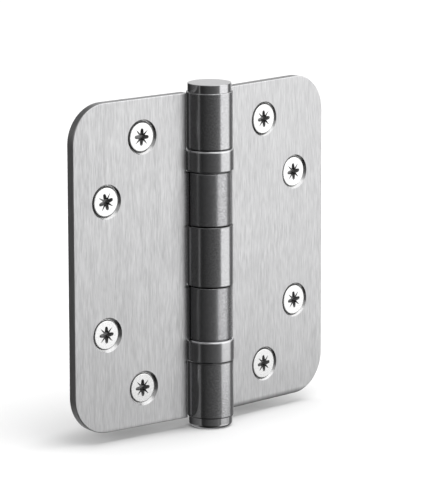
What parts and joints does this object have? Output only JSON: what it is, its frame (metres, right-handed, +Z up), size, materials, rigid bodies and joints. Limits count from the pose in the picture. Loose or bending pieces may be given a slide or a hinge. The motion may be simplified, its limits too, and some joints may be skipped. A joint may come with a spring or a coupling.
{
  "type": "ball bearing butt hinge",
  "caption": "Butt hinge with flat screw-on leaves, a barrel of rolled knuckles on a capped pin and ball bearing rings between knuckles, for hanging a door.",
  "frame": {"origin": "on the frame leaf's back face, in the middle of its four screws and at the hinge's mid-height", "axes": "+Z up along the pin, +X from the pin along the frame leaf, +Y out of the frame leaf's back into the door frame"},
  "size_m": [0.1015, 0.0296, 0.1078],
  "materials": {
    "leaf_steel": "satin, brushed upright",
    "pin_steel": "ground",
    "cap_steel": "satin",
    "screw_steel": "bright plated",
    "shell_steel": "polished",
    "race_steel": "hardened and ground",
    "cage_brass": "stamped",
    "ball_steel": "polished"
  },
  "bodies": {
    "frame_side": {"frame_leaf": "leaf_steel", "hinge_pin": "pin_steel", "top_cap": "cap_steel", "bottom_cap": "cap_steel", "frame_leaf_screws": "screw_steel", "upper_bearing_shell": "shell_steel", "upper_bearing_frame_race": "race_steel", "lower_bearing_shell": "shell_steel", "lower_bearing_frame_race": "race_steel"},
    "door_side": {"door_leaf": "leaf_steel", "door_leaf_screws": "screw_steel", "upper_bearing_door_race": "race_steel", "lower_bearing_door_race": "race_steel"},
    "upper_ball_ring": {"upper_bearing_cage": "cage_brass", "upper_bearing_balls": "ball_steel"},
    "lower_ball_ring": {"lower_bearing_cage": "cage_brass", "lower_bearing_balls": "ball_steel"}
  },
  "joints": [
    {"name": "leaf_swing", "type": "hinge", "parent": "frame_side", "child": "door_side", "pos_m": [-0.0318, -0.0041, 0], "axis": [0, 0, 1], "range_deg": [-83, 187]},
    {"name": "upper_ball_ring_roll", "type": "hinge", "parent": "frame_side", "child": "upper_ball_ring", "pos_m": [-0.0318, -0.0041, 0], "axis": [0, 0, 1], "range_deg": [-41.5, 93.5]},
    {"name": "lower_ball_ring_roll", "type": "hinge", "parent": "frame_side", "child": "lower_ball_ring", "pos_m": [-0.0318, -0.0041, 0], "axis": [0, 0, 1], "range_deg": [-41.5, 93.5]}
  ],
  "couplings": [
    {"joint": "upper_ball_ring_roll", "follows": "leaf_swing", "ratio": 0.5},
    {"joint": "lower_ball_ring_roll", "follows": "leaf_swing", "ratio": 0.5}
  ]
}
